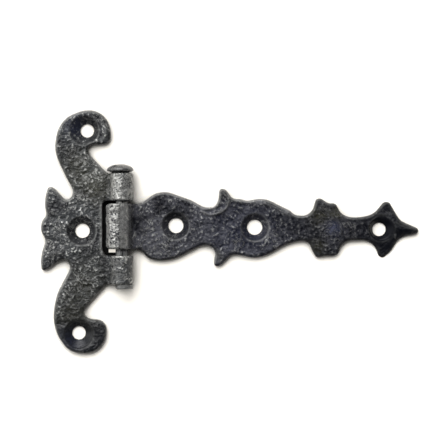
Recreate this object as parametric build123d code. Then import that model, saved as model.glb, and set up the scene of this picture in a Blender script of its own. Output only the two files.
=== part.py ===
from build123d import *
import math
import os

# Ornamental cast-iron strap hinge: a frame leaf with two closed knuckles, a long strap leaf with
# one open rolled knuckle, and a hinge pin with a domed head and a hammered foot.
# Origin on the flat back plane straight behind the pin. X runs along the strap, Y along the pin
# toward its head, Z out of the front. Everything is in millimetres.

# Leaves
plate_thickness = 3.0
edge_bevel = 0.8
hole_land = 0.6

# Pin and the bore it runs in; the bore just clears the front of the leaf
pin_radius = 2.4
pin_clearance = 0.05
bore_radius = pin_radius + pin_clearance
axis_height = plate_thickness + bore_radius

# Frame knuckles, above and below the notch in the frame leaf
knuckle_wall = 1.82
knuckle_radius = bore_radius + knuckle_wall
knuckle_root_round = 1.2
knuckle_root_height = plate_thickness + knuckle_root_round
knuckle_root = -math.sqrt((knuckle_radius + knuckle_root_round) ** 2
                          - (axis_height - knuckle_root_height) ** 2)
knuckle_end_bevel = 0.4
notch_top = 10.05
notch_bottom = -10.2
upper_knuckle_length = 10.35
lower_knuckle_length = 10.6
upper_end = notch_top + upper_knuckle_length
lower_end = notch_bottom - lower_knuckle_length

# Strap knuckle: a hook that lies a little to the left of the pin, in the notch, as thick all round
hook_wall = 1.85
hook_radius = bore_radius + hook_wall
hook_shift = -2.0
hook_end_bevel = 0.6
gap_above_hook = 0.95
gap_below_hook = 2.4
gap_behind_hook = 1.15
hook_top = notch_top - gap_above_hook
hook_bottom = notch_bottom + gap_below_hook
notch_wall = hook_shift - hook_radius - gap_behind_hook

# Pin ends, both a little off the pin's own centre
seat_gap = 0.05
head_radius = 5.0
head_height = 3.15
head_bevel = 0.9
head_shift = -0.6
foot_radius = 3.35
foot_height = 1.8
foot_bevel = 0.5
foot_shift = 0.9

# Screw holes: centre x and y, radius, countersink rim radius, and on the arms, where the
# countersinks were cut off centre, how far the rim lies off in x and y
frame_holes = (
    (-13.2, 36.2, 2.5, 5.5, -1.0, 0.0),
    (-15.0, -1.0, 2.7, 5.5),
    (-16.3, -39.0, 2.5, 5.5, 0.1, -0.4),
)
strap_holes = (
    (19.8, 0.9, 2.8, 5.2),
    (49.1, 0.3, 2.85, 5.2),
    (95.4, -0.5, 2.5, 4.9),
)

# Corners of the leaf outlines, seen from the front, counterclockwise from the knuckles.
# A third value is the corner's own radius, and zero leaves it sharp.
upper_arm = (
    (-5.8, upper_end), (-12.7, 27.7), (-12.6, 30.9, 1.5), (-4.8, 31.0), (-4.1, 36.0), (-6.2, 41.2),
    (-10.0, 43.7), (-14.7, 43.8), (-21.0, 41.2), (-24.1, 36.8), (-25.2, 30.5), (-24.5, 26.4),
    (-21.0, 18.9), (-18.3, 14.1), (-18.9, 11.3), (-21.2, 10.3),
)
left_wing = (
    (-25.4, 14.9), (-27.5, 15.6), (-28.7, 11.9), (-28.85, 7.8), (-28.1, 5.0), (-30.15, 2.4),
    (-30.4, -1.3), (-28.3, -4.4), (-29.9, -8.4), (-30.4, -12.6), (-29.9, -16.1), (-27.6, -15.4),
    (-23.95, -12.4), (-20.8, -11.5),
)
lower_arm = (
    (-19.2, -14.7), (-24.25, -24.1), (-25.45, -29.7), (-25.7, -34.5), (-24.2, -40.1),
    (-20.2, -45.5), (-15.4, -46.9), (-9.85, -46.2), (-6.3, -41.9), (-5.8, -37.0),
    (-7.5, -34.3), (-13.1, -33.6), (-14.9, -31.2), (-12.9, -28.6), (-5.9, lower_end),
)
notch = (
    (-6.4, notch_bottom), (notch_wall + 0.1, notch_bottom + 1.8), (notch_wall, notch_top - 1.4),
    (notch_wall + 0.5, notch_top),
)
strap_lower_edge = (
    (7.05, -8.0), (9.3, -11.3), (13.2, -12.25), (19.1, -11.7), (29.5, -6.25), (33.2, -6.6),
    (34.65, -9.5), (33.9, -11.9), (34.2, -14.6), (36.8, -13.7), (40.3, -9.65), (43.6, -10.0),
    (49.2, -11.35), (54.8, -9.65), (60.3, -6.15), (65.5, -4.7), (69.1, -5.0), (71.0, -9.45),
    (72.2, -11.15), (75.2, -10.3), (78.2, -10.5), (80.2, -9.7), (81.1, -6.3), (83.7, -4.6),
    (90.8, -4.6), (93.95, -6.7), (95.2, -10.3), (96.7, -11.2), (99.7, -8.9), (102.9, -3.45),
    (108.2, -2.35), (109.9, -1.9),
)
strap_upper_edge = (
    (109.9, -0.2), (108.0, 0.65), (103.2, 2.8), (101.5, 5.6), (99.15, 9.75), (97.1, 9.75),
    (93.6, 5.3), (88.9, 4.0), (84.1, 4.0), (81.1, 5.4), (79.1, 9.3), (76.5, 9.1), (73.5, 11.1),
    (71.9, 10.8), (70.75, 6.5), (68.0, 4.5), (63.9, 4.8), (62.2, 6.55), (58.1, 8.45),
    (54.4, 10.45), (50.7, 11.0), (46.2, 10.05), (44.0, 10.8), (40.85, 10.85), (38.2, 14.5),
    (36.0, 14.7), (35.7, 10.2), (34.2, 7.65), (29.9, 7.65), (26.2, 10.1), (16.3, 13.6),
    (11.9, 12.9), (6.7, 8.8),
)


def soft_outline(corners, share=0.48):
    """Flat face inside straight legs whose corners are rounded.

    A corner that turns by the angle a gets the radius share * shorter leg / tan(a / 2), or its
    own third value where that is smaller.
    """
    points = [Vector(corner[0], corner[1], 0) for corner in corners]
    rounds = []
    for i, corner in enumerate(corners):
        here = points[i]
        back = points[i - 1] - here
        ahead = points[(i + 1) % len(points)] - here
        reach = share * min(back.length, ahead.length)
        back, ahead = back.normalized(), ahead.normalized()
        half_turn = (math.pi - math.acos(back.dot(ahead))) / 2
        if len(corner) > 2:
            reach = min(reach, corner[2] * math.tan(half_turn))
        if reach == 0:
            rounds.append((here, here, here))
            continue
        radius = reach / math.tan(half_turn)
        middle = here + (back + ahead).normalized() * (math.hypot(radius, reach) - radius)
        rounds.append((here + back * reach, middle, here + ahead * reach))
    edges = []
    for i, (start, middle, end) in enumerate(rounds):
        if start != end:
            edges.append(Edge.make_three_point_arc(start, middle, end))
        edges.append(Edge.make_line(end, rounds[(i + 1) % len(rounds)][0]))
    return Face(Wire(edges))


def leaf(corners, joined_at):
    """Leaf body with a bevelled front rim, apart from the straight ends that its knuckles cover."""
    body = Solid.extrude(soft_outline(corners), Vector(0, 0, plate_thickness))
    front = body.faces().sort_by(Axis.Z)[-1]
    rim = [e for e in front.edges() if abs(e.center().X - joined_at) > 0.01]
    return body.chamfer(edge_bevel, edge_bevel, rim)


def arc_xz(centre, radius, start, end):
    """Circular edge in the X-Z plane between two angles in degrees, from +X toward +Z."""
    at = [Vector(centre[0] + radius * math.cos(math.radians(a)), 0,
                 centre[1] + radius * math.sin(math.radians(a)))
          for a in (start, (start + end) / 2, end)]
    return Edge.make_three_point_arc(*at)


def barrel(rim, root, low, high, bevel):
    """Profile in the X-Z plane pushed along Y, with both ends bevelled along the rim's edges."""
    body = Solid.extrude(Face(Wire(rim + root)).moved(Location((0, low, 0))), Vector(0, high - low, 0))
    marks = [(e.center().X, e.center().Z) for e in rim]
    ends = [e for e in body.edges()
            if any(math.dist((e.center().X, e.center().Z), mark) < 0.001 for mark in marks)]
    return body.chamfer(bevel, bevel, ends)


def closed_knuckle(low, high):
    """Frame knuckle: from a flush underside straight up its side, round the bore, to a concave root."""
    axis = (0, axis_height)
    lean = math.degrees(math.atan2(axis_height - knuckle_root_height, -knuckle_root))
    rim = [
        arc_xz((0, knuckle_radius), knuckle_radius, -90, 0),
        Edge.make_line((knuckle_radius, 0, knuckle_radius), (knuckle_radius, 0, axis_height)),
        arc_xz(axis, knuckle_radius, 0, 180 + lean),
        arc_xz((knuckle_root, knuckle_root_height), knuckle_root_round, lean, -90),
    ]
    root = [
        Edge.make_line((knuckle_root, 0, plate_thickness), (knuckle_root, 0, 0)),
        Edge.make_line((knuckle_root, 0, 0), (0, 0, 0)),
    ]
    return barrel(rim, root, low, high, knuckle_end_bevel)


def open_knuckle():
    """Strap knuckle: a hook round the back of the pin, whose nose rolls over onto it."""
    bend = (hook_shift, axis_height)
    nose = (hook_shift, axis_height + bore_radius)
    nose_x = hook_shift + hook_wall
    outer_x = hook_shift - hook_radius
    rim = [
        arc_xz((hook_shift, hook_radius), hook_radius, 270, 180),
        Edge.make_line((outer_x, 0, hook_radius), (outer_x, 0, axis_height)),
        arc_xz(bend, hook_radius, 180, 90),
        arc_xz(nose, hook_wall, 90, 0),
    ]
    root = [
        Edge.make_line((nose_x, 0, nose[1]), (hook_shift, 0, nose[1])),
        arc_xz(bend, bore_radius, 90, 270),
        Edge.make_line((hook_shift, 0, plate_thickness), (hook_shift, 0, 0)),
    ]
    return barrel(rim, root, hook_bottom, hook_top, hook_end_bevel)


def screw_hole(x, y, radius, rim, shift_x=0, shift_y=0):
    """Tool for a round hole that opens from its land into a cone on the front face."""
    bore = Solid.make_cylinder(radius, plate_thickness, Plane((x, y, -plate_thickness / 2)))
    if shift_x or shift_y:
        low = Wire.make_circle(radius, Plane((x, y, hole_land)))
        high = Wire.make_circle(rim, Plane((x + shift_x, y + shift_y, plate_thickness)))
        cone = Solid.make_loft([low, high], ruled=True)
    else:
        cone = Solid.make_cone(radius, rim, plate_thickness - hole_land, Plane((x, y, hole_land)))
    mouth = Solid.make_cylinder(rim, plate_thickness, Plane((x + shift_x, y + shift_y, plate_thickness)))
    return bore.fuse(cone).fuse(mouth)


def along_pin(radius, low, high):
    """Cylinder on the hinge axis."""
    return Solid.make_cylinder(radius, high - low, Plane((0, low, axis_height), z_dir=(0, 1, 0)))


def frame_leaf():
    """Short leaf with its two arms, its wing and the two closed knuckles."""
    outline = (
        (knuckle_root, upper_end, 0), *upper_arm, *left_wing, *lower_arm,
        (knuckle_root, lower_end, 0), (knuckle_root, notch_bottom, 0), *notch,
        (knuckle_root, notch_top, 0),
    )
    body = leaf(outline, knuckle_root)
    body = body.fuse(closed_knuckle(notch_top, upper_end), closed_knuckle(lower_end, notch_bottom))
    for hole in frame_holes:
        body = body.cut(screw_hole(*hole))
    return body.cut(along_pin(bore_radius, lower_end - 1, upper_end + 1))


def strap_leaf():
    """Long leaf that tapers through three swells to a spear point, with the open knuckle."""
    outline = (
        (hook_shift, hook_bottom, 0), *strap_lower_edge, *strap_upper_edge, (hook_shift, hook_top, 0),
    )
    body = leaf(outline, hook_shift).fuse(open_knuckle())
    for hole in strap_holes:
        body = body.cut(screw_hole(*hole))
    return body


def turned(edges, shift):
    """Solid turned about a line along Y that lies the given shift in X off the hinge axis."""
    body = Solid.revolve(Face(Wire(edges)), 360, Axis((0, 0, 0), (0, -1, 0)))
    return body.moved(Location((shift, 0, axis_height)))


def pin_head():
    """Shallow dome whose lower rim is bevelled."""
    low = upper_end + seat_gap
    high = low + head_height
    waist = low + head_bevel
    rise = high - waist
    dome_radius = (head_radius ** 2 + rise ** 2) / (2 * rise)
    half_way = math.asin(head_radius / dome_radius) / 2
    crown = (dome_radius * math.sin(half_way), high - dome_radius * (1 - math.cos(half_way)))
    return turned([
        Edge.make_line((0, low), (head_radius - head_bevel, low)),
        Edge.make_line((head_radius - head_bevel, low), (head_radius, waist)),
        Edge.make_three_point_arc((head_radius, waist), crown, (0, high)),
        Edge.make_line((0, high), (0, low)),
    ], head_shift)


def pin_foot():
    """Flat button, as hammered over below the lower knuckle."""
    high = lower_end - seat_gap
    low = high - foot_height
    return turned([
        Edge.make_line((0, low), (foot_radius - foot_bevel, low)),
        Edge.make_line((foot_radius - foot_bevel, low), (foot_radius, low + foot_bevel)),
        Edge.make_line((foot_radius, low + foot_bevel), (foot_radius, high)),
        Edge.make_line((foot_radius, high), (0, high)),
        Edge.make_line((0, high), (0, low)),
    ], foot_shift)


def hinge_pin():
    """Shank with the head and the foot, each of which it runs halfway into."""
    low = lower_end - seat_gap - foot_height / 2
    high = upper_end + seat_gap + head_height / 2
    return along_pin(pin_radius, low, high).fuse(pin_foot()).fuse(pin_head())


if __name__ == "__main__":
    os.makedirs("parts", exist_ok=True)
    export_step(frame_leaf(), "parts/frame_leaf.step")
    export_step(strap_leaf(), "parts/strap_leaf.step")
    export_step(hinge_pin(), "parts/hinge_pin.step")
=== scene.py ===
import bmesh
import bpy
import numpy as np
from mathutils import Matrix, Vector


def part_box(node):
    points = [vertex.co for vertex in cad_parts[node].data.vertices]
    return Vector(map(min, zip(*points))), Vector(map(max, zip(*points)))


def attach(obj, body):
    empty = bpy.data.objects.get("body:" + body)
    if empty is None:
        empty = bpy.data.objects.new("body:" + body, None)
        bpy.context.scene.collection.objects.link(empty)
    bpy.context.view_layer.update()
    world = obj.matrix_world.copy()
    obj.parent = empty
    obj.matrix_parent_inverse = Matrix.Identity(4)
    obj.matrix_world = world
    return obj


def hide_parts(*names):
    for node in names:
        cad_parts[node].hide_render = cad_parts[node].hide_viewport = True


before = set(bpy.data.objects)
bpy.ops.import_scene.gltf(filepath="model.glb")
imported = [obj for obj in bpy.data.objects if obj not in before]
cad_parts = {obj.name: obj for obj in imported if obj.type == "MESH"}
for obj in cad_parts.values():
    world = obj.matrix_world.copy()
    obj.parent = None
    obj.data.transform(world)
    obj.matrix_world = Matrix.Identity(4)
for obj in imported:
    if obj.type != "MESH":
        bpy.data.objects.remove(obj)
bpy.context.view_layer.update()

# Ornamental cast-iron strap hinge: the looks of its two leaves and its pin, and a plain stage.
# Shapes are worked out in millimetres and go into the meshes in metres.

bl_info = {
    "name": "Ornamental strap hinge",
    "version": (1, 0, 0),
    "blender": (4, 5, 0),
    "location": "3D View > Sidebar > Strap hinge",
    "description": "Cast skins, iron finishes and a plain stage for a strap hinge",
    "category": "Object",
}

MM = 0.001
PLATE_THICKNESS = 3.0
EDGE_BEVEL = 0.8
HOLE_LAND = 0.6
THINNEST_EDGE = 0.3
AXIS_HEIGHT = 5.45
BORE_RADIUS = 2.45
KNUCKLE_RADIUS = 4.3
KNUCKLE_BEVEL = 0.45
HOOK_ROUND = 1.3
PIN_RADIUS = 2.4
FOOT_RADIUS = 3.35
FOOT_LENGTH = 1.8
HEAD_RADIUS = 4.98
HEAD_LENGTH = 3.15
HEAD_RIM = 0.9
# How far the foot lies off to the right of the pin's centre, and the head to the left
FOOT_SHIFT = 0.9
HEAD_SHIFT = 0.6
# The chip in the head, and the groove and fine lines along the shank: where round the pin they
# are, as angles from +X, how deep they go, and how far the chip lies below the head's top
CHIP_ANGLE = 2.18
CHIP_DEPTH = 0.9
CHIP_DROP = 1.0
GROOVE_ANGLE = 1.37
GROOVE_DEPTH = 0.22
LINE_DEPTH = 0.08
# Where along y the pin is in shade, below the strap's knuckle and below the frame's upper one
SHADED_ROWS = (-8.0, 10.0)

# Screw holes: centre x and y, radius, countersink rim radius, how far the rim lies off in x and y
FRAME_HOLES = (
    (-13.2, 36.2, 2.5, 5.5, -1.0, 0.0),
    (-15.0, -1.0, 2.7, 5.5, 0.0, 0.0),
    (-16.3, -39.0, 2.5, 5.5, 0.1, -0.4),
)
STRAP_HOLES = (
    (19.8, 0.9, 2.8, 5.2, 0.0, 0.0),
    (49.1, 0.3, 2.85, 5.2, 0.0, 0.0),
    (95.4, -0.5, 2.5, 4.9, 0.0, 0.0),
)

# Each countersink: how far its worn rim lies off the drawn one, how black it is inside, as black
# finish with painted shade, and the direction in degrees of the side of its rim that carries a
# painted highlight
FRAME_SINKS = ((0.0, 0.0, 0.85, -20.0), (-0.2, -0.1, 0.85, -40.0), (0.0, 0.0, 1.0, 0.0))
STRAP_SINKS = ((-0.1, -0.1, 0.75, -50.0), (0.1, -0.1, 0.75, -40.0), (0.9, 0.1, 1.0, 180.0))

# How light each leaf is along its length: the frame leaf along y, the strap leaf along x
FRAME_LIGHTNESS = ((-46.0, 0.0), (-38.0, 0.05), (-32.0, 0.4), (-26.0, 0.8), (-18.0, 1.0), (44.0, 0.95))
STRAP_LIGHTNESS = ((4.0, 1.4), (12.0, 1.2), (30.0, 1.35), (45.0, 1.6), (60.0, 1.45), (70.0, 0.65),
              (88.0, 0.5), (98.0, 0.0), (110.0, 0.05))

# Patches lighter or darker than the rest round them: centre x and y, reach, amount. The strap's
# patch at x 99.5 is a painted highlight on the spear's upper barb
FRAME_PATCHES = (
    (-14.0, 17.5, 3.5, 0.35), (-7.0, 37.0, 3.0, 0.3), (-17.0, 26.5, 4.0, -0.35),
    (-27.0, -10.0, 3.0, 0.25), (-18.0, -28.0, 5.0, -0.3), (-21.0, -18.0, 4.0, 0.2),
)
STRAP_PATCHES = (
    (13.5, -1.0, 3.5, 0.5), (28.0, -4.0, 4.0, -0.3), (99.5, 5.0, 2.6, 0.45), (36.0, 1.0, 4.0, 0.2),
    (90.0, 0.0, 2.5, 0.3),
)

# Where the finish turns olive or blue: centre x and y, reach, amount
FRAME_TINTS = {
    "olive": ((-9.0, 15.0, 6.0, 0.45), (-16.0, 22.0, 8.0, 0.35), (-20.0, -34.0, 8.0, 0.3),
              (-14.0, -20.0, 9.0, 0.3)),
    "blue": ((-18.0, 38.0, 4.0, 0.6), (-20.0, -41.0, 5.0, 0.4)),
}
STRAP_TINTS = {
    "olive": ((73.0, 4.5, 3.5, 0.4), (79.5, 5.5, 2.5, 0.5), (72.5, -7.0, 3.0, 0.35),
              (36.0, -10.0, 2.0, 0.3)),
    "blue": ((78.2, 0.0, 2.4, 1.0), (44.0, -3.0, 14.0, 0.3)),
}

# Cast relief: points of a line, its half width, and its height, negative for a groove
FRAME_RELIEF = (
    (((-28.4, 4.6), (-25.4, 3.6), (-22.4, 3.4)), 0.8, -0.25),
    (((-28.4, -4.6), (-25.4, -4.4), (-22.0, -6.4)), 0.8, -0.3),
    (((-28.6, -11.4), (-26.0, -9.6), (-22.4, -9.2)), 0.8, 0.15),
    (((-7.6, 39.8), (-6.2, 36.4), (-6.8, 33.2)), 0.8, 0.3),
    (((-22.9, 29.2), (-21.6, 27.9), (-19.9, 27.2), (-17.9, 24.2)), 0.3, 0.15),
    (((-18.4, 18.9), (-14.2, 17.8), (-10.5, 16.2)), 0.3, 0.15),
)
STRAP_RELIEF = (
    (((29.2, 6.3), (32.5, 5.0), (36.2, 5.8), (38.4, 7.4), (39.3, 9.3), (39.2, 11.1), (37.0, 13.5)),
     0.45, 0.6),
    (((33.0, 6.4), (36.2, 8.0), (37.4, 10.6)), 0.9, -0.4),
    (((35.8, 9.6), (34.4, 7.8), (30.6, 7.0)), 0.5, 0.25),
    (((43.6, 9.6), (49.0, 9.4), (54.0, 8.8), (58.0, 6.8), (62.0, 4.6)), 0.5, 0.35),
    (((34.2, -7.0), (35.6, -9.0), (35.8, -12.4)), 0.5, 0.25),
    (((94.9, 5.0), (98.0, 5.1), (101.3, 5.0)), 0.45, 0.35),
    (((8.4, -6.3), (9.9, -6.9), (11.0, -8.6)), 0.3, 0.3),
    (((78.0, -1.4), (78.6, -0.6)), 1.0, 0.3),
    (((101.6, 1.9), (104.0, 0.7), (108.6, -0.8)), 0.4, 0.35),
    # A short knob whose bright crest is a painted glint
    (((101.2, -3.6), (101.3, -2.6)), 0.35, 0.5),
)
# Bright scratches on the strap's knuckle, where it runs down to the leaf
KNUCKLE_SCRATCHES = (
    (((2.2, 7.6), (2.0, 6.2), (2.6, 4.2)), 0.2, 1.3),
    (((1.6, 4.6), (2.5, 3.0)), 0.18, 1.2),
    (((1.4, 0.1), (1.5, 0.2)), 0.25, 1.6),
    (((1.7, -2.4), (2.0, -6.0)), 0.35, 0.6),
    (((-0.6, 8.3), (0.0, 8.4), (0.9, 8.3)), 0.25, 0.7),
    (((0.6, 7.0), (0.5, 3.0), (0.7, 0.5)), 0.2, 0.25),
    (((-0.2, -1.0), (0.0, -4.0), (-0.1, -7.0)), 0.25, 0.25),
)
# Painted highlights on the rims of the frame's knuckles, where they face the strap's
KNUCKLE_RIM_HIGHLIGHTS = (
    (((-3.6, -10.5), (0.0, -10.45), (3.6, -10.5)), 0.28, 1.4),
    (((-3.6, 10.9), (-1.4, 10.7), (3.4, 10.65)), 0.28, 0.8),
)
# The strap's knuckle in profile, x and z: its face from the hook's crest over the pin to the leaf
KNUCKLE_FACE = ((-2.4, 9.7), (-1.2, 9.68), (0.0, 9.3), (1.2, 8.7), (2.2, 7.8), (3.0, 6.5), (3.5, 5.0),
                (4.1, 3.7), (5.2, 2.9))
# Its inside, an arc in degrees from +X, and how far that lies outside the bore
KNUCKLE_ARC = (-75.0, 122.0)
ARC_CLEARANCE = 0.15
# Where the frame's upper knuckle ends at the notch, along y, with a painted shadow line on it
NOTCH_TOP = 10.05
# Painted shade in the concave root of the frame's knuckles: its x and reach, and where it fades out
# along y
KNUCKLE_ROOT = (-6.3, 1.3)
ROOT_ENDS = (20.0, 22.0)
# The ridge along the spear head, from x and y to x and y, the slope beside it, how far out that
# ends, the slope from there over the barbs, and where along x both set in
SPEAR_RIDGE = ((96.0, 0.8), (109.6, -1.1))
SPEAR_SLOPE = 0.3
SPEAR_REACH = 2.4
BARB_SLOPE = 0.12
SPEAR_FROM = (86.0, 97.0)
# Painted shade on the floor inside the notch, and a painted pool of light where it shows below
# the hook: centre x and y, half width, half height, and the width over which it fades
PAINTED_NOTCH_SHADE = (-5.3, 0.0, 2.7, 10.4, 0.3)
PAINTED_GAP_LIGHT = (-3.9, -8.5, 1.25, 0.5, 0.2)

# What shapes and colours each leaf. The plate starts this far from the pin, to the leaf's side
FRAME_LEAF = {
    "holes": FRAME_HOLES, "sinks": FRAME_SINKS, "relief": FRAME_RELIEF, "wear": FRAME_LIGHTNESS,
    "patches": FRAME_PATCHES, "tints": FRAME_TINTS, "plate_from": 5.35, "side": -1.0, "seed": 3,
}
STRAP_LEAF = {
    "holes": STRAP_HOLES, "sinks": STRAP_SINKS, "relief": STRAP_RELIEF, "wear": STRAP_LIGHTNESS,
    "patches": STRAP_PATCHES, "tints": STRAP_TINTS, "plate_from": 5.2, "side": 1.0, "seed": 17,
}
PLATE_FADE = 0.8
# Beyond these distances along y, a leaf is plate only
ARM_FROM = (23.0, 25.0)

# Colours of the tints, and of the paper where it is open and where the hinge's shade is painted
TINT_COLOURS = {"Olive": (0.06, 0.058, 0.028, 1.0), "Blue": (0.028, 0.034, 0.075, 1.0)}
PAPER_OPEN = (0.97, 0.94, 0.88, 1.0)
PAPER_SHADED = (0.01, 0.01, 0.01, 1.0)
PAPER_GLOW = (1.0, 0.95, 0.86, 1.0)
# Soft panes of light in the room: direction, the cosines over which each fades in, its setting
LIGHT_PANES = (
    ((-0.22, 0.7, 0.74), (0.8, 0.97), "window_light"),
    ((-0.86, 0.12, 0.5), (0.84, 0.98), "side_light"),
)
# In metres: the middle of the view, half the floor's side, how high the floor and the leaves lie
VIEW_CENTRE = (0.0377, 0.0015)
FLOOR_REACH = 1.5
FLOOR_HEIGHT = 0.00002
LEAF_HEIGHT = 0.002


def smooth_step(value, low, high):
    """0 below low, 1 above high, and 3t^2 - 2t^3 between them, where t runs from 0 to 1."""
    t = np.clip((value - low) / (high - low), 0.0, 1.0)
    return t * t * (3.0 - 2.0 * t)


def lattice_noise(u, v, spacing, seed):
    """Smooth noise from -1 to 1: random values on a square lattice of the given spacing, blended
    over each cell with the weights of smooth_step."""
    table = np.random.default_rng(seed).uniform(-1.0, 1.0, (64, 64))
    u, v = u / spacing, v / spacing
    column, row = np.floor(u).astype(int), np.floor(v).astype(int)
    s, t = smooth_step(u - column, 0.0, 1.0), smooth_step(v - row, 0.0, 1.0)
    left, right = column % 64, (column + 1) % 64
    low, high = row % 64, (row + 1) % 64
    return ((table[left, low] * (1 - s) + table[right, low] * s) * (1 - t)
            + (table[left, high] * (1 - s) + table[right, high] * s) * t)


def hammered(u, v, spacing, seed):
    """Three layers of lattice noise, each at half the spacing and half the strength of the last."""
    return sum(lattice_noise(u + 7.3 * k, v - 4.1 * k, spacing / 2 ** k, seed + k) / 2 ** k
               for k in range(3)) / 1.75


def smooth_line(points, step=0.25):
    """Points along a curve through the given ones: the cubic 2p1 + (p2-p0)t + (2p0-5p1+4p2-p3)t^2
    + (3p1-p0-3p2+p3)t^3, halved, between each two of them."""
    p = np.array(points, float)
    p = np.vstack([2 * p[0] - p[1], p, 2 * p[-1] - p[-2]])
    count = max(2, int(np.linalg.norm(np.diff(p, axis=0), axis=1).max() / step))
    t = np.linspace(0.0, 1.0, count, endpoint=False)[None, :, None]
    a, b, c, d = (p[i:len(p) - 3 + i, None, :] for i in range(4))
    run = 0.5 * (2 * b + (c - a) * t + (2 * a - 5 * b + 4 * c - d) * t ** 2
                 + (3 * b - a - 3 * c + d) * t ** 3)
    return np.vstack([run.reshape(-1, 2), p[-2:-1]])


def line_distance(x, y, starts, ends):
    """Distance from each (x, y) to the nearest of the straight pieces from starts to ends."""
    best = np.full(len(x), np.inf)
    run = ends - starts
    square = np.maximum((run ** 2).sum(1), 1e-12)
    for low in range(0, len(x), 4000):
        px, py = x[low:low + 4000, None], y[low:low + 4000, None]
        dx, dy = px - starts[:, 0], py - starts[:, 1]
        t = np.clip((dx * run[:, 0] + dy * run[:, 1]) / square, 0.0, 1.0)
        gap = np.hypot(dx - t * run[:, 0], dy - t * run[:, 1])
        best[low:low + 4000] = gap.min(1)
    return best


def relief(x, y, lines):
    """Height of the relief: each line adds height * exp(-(distance / width)^2)."""
    total = np.zeros(len(x))
    for points, width, height in lines:
        path = smooth_line(points)
        low, high = path.min(0) - 3 * width, path.max(0) + 3 * width
        near = np.flatnonzero((x > low[0]) & (x < high[0]) & (y > low[1]) & (y < high[1]))
        gap = line_distance(x[near], y[near], path[:-1], path[1:])
        total[near] += height * np.exp(-(gap / width) ** 2)
    return total


def spots(x, y, places):
    """Sum of soft round spots, each amount * exp(-(distance / reach)^2)."""
    total = np.zeros(len(x))
    for cx, cy, reach, amount in places:
        total += amount * np.exp(-((x - cx) ** 2 + (y - cy) ** 2) / reach ** 2)
    return total


def round_drop(gap, depth, width):
    """How far a rounded rim falls below the face at a distance from the edge: a quarter ellipse."""
    t = np.clip(1.0 - gap / width, 0.0, 1.0)
    return depth * (1.0 - np.sqrt(1.0 - t * t))


def cone_height(x, y, hole):
    """Height of a countersink over the point, from its land to its rim, where the cone's centre
    slides from the hole's centre to the rim's; the height runs on past both."""
    cx, cy, radius, rim, shift_x, shift_y = hole
    t = np.zeros(len(x))
    for _ in range(4):
        gap = np.hypot(x - cx - t * shift_x, y - cy - t * shift_y)
        t = (gap - radius) / (rim - radius)
    return HOLE_LAND + t * (PLATE_THICKNESS - HOLE_LAND), gap - rim


def soft_min(a, b, width):
    """Lesser of two heights, with the crossing rounded over the width by a parabola."""
    t = np.clip(0.5 + 0.5 * (b - a) / width, 0.0, 1.0)
    return b + (a - b) * t - width * t * (1.0 - t)


def spear_drop(x, y):
    """How far the spear head's facets fall: a roof along its ridge, flatter over the barbs."""
    (x0, y0), (x1, y1) = SPEAR_RIDGE
    gap = np.abs(y - (y0 + (y1 - y0) * (x - x0) / (x1 - x0)))
    fall = SPEAR_SLOPE * np.minimum(gap, SPEAR_REACH)
    fall += BARB_SLOPE * np.maximum(gap - SPEAR_REACH, 0.0)
    return fall * smooth_step(x, *SPEAR_FROM)


def mesh_points(mesh):
    """Vertices of a mesh in millimetres, and their normals."""
    points = np.empty(len(mesh.vertices) * 3)
    mesh.vertices.foreach_get("co", points)
    normals = np.empty(len(mesh.vertices) * 3)
    mesh.vertex_normals.foreach_get("vector", normals)
    return points.reshape(-1, 3) / MM, normals.reshape(-1, 3)


def set_points(mesh, points):
    """Puts points in millimetres into a mesh."""
    mesh.vertices.foreach_set("co", (points * MM).ravel())
    mesh.update()


def set_values(mesh, name, values):
    """Stores one value per vertex under a name that materials read."""
    layer = mesh.attributes.new(name, "FLOAT", "POINT")
    layer.data.foreach_set("value", values.astype(np.float32))


def add_piece(name, mesh, body, node):
    """Smooth-shaded piece that rides on a body and takes the place of a CAD node."""
    mesh.shade_smooth()
    piece = bpy.data.objects.new(name, mesh)
    bpy.context.scene.collection.objects.link(piece)
    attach(piece, body)
    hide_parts(node)
    return piece


def merged_copy(node):
    """Copy of a CAD node's mesh with its loose triangles joined."""
    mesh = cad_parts[node].data.copy()
    grid = bmesh.new()
    grid.from_mesh(mesh)
    bmesh.ops.remove_doubles(grid, verts=grid.verts, dist=0.002 * MM)
    grid.to_mesh(mesh)
    grid.free()
    return mesh


def ring_quads(rings, sides):
    """Corners of the quads between closed rings of points, which are stored ring after ring."""
    ring, spoke = np.meshgrid(np.arange(rings - 1), np.arange(sides), indexing="ij")
    a = ring * sides + spoke
    b = ring * sides + (spoke + 1) % sides
    return np.stack([a, a + sides, b + sides, b], axis=2).reshape(-1, 4)


def close_knuckle(mesh, low, high):
    """Carries the strap's knuckle on over the pin: a closed wall, whose face is a smooth curve from
    the hook's crest down to the leaf and whose inside is an arc round the pin, swept along y. The
    face falls by the bevel at both ends, and the even skin joins the wall to the leaf."""
    face = smooth_line(KNUCKLE_FACE)
    angles = np.radians(np.linspace(*KNUCKLE_ARC, 40))
    clear = BORE_RADIUS + ARC_CLEARANCE
    inside = np.stack([clear * np.cos(angles), AXIS_HEIGHT + clear * np.sin(angles)], axis=1)
    rings = []
    for y, drop in ((low, KNUCKLE_BEVEL), (low + KNUCKLE_BEVEL, 0.0),
                    (high - KNUCKLE_BEVEL, 0.0), (high, KNUCKLE_BEVEL)):
        ring = np.vstack([face - [0.0, drop], inside])
        rings.append(np.insert(ring, 1, y, axis=1))
    count = len(rings[0])
    wall = bpy.data.meshes.new("knuckle wall")
    wall.from_pydata((np.vstack(rings) * MM).tolist(), [], ring_quads(len(rings), count).tolist())
    grid = bmesh.new()
    grid.from_mesh(wall)
    corners = list(grid.verts)
    caps = [grid.faces.new(corners[:count]), grid.faces.new(corners[-count:][::-1])]
    bmesh.ops.triangulate(grid, faces=caps)
    bmesh.ops.recalc_face_normals(grid, faces=grid.faces)
    grid.to_mesh(wall)
    grid.clear()
    grid.from_mesh(mesh)
    grid.from_mesh(wall)
    grid.to_mesh(mesh)
    grid.free()
    bpy.data.meshes.remove(wall)


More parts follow.
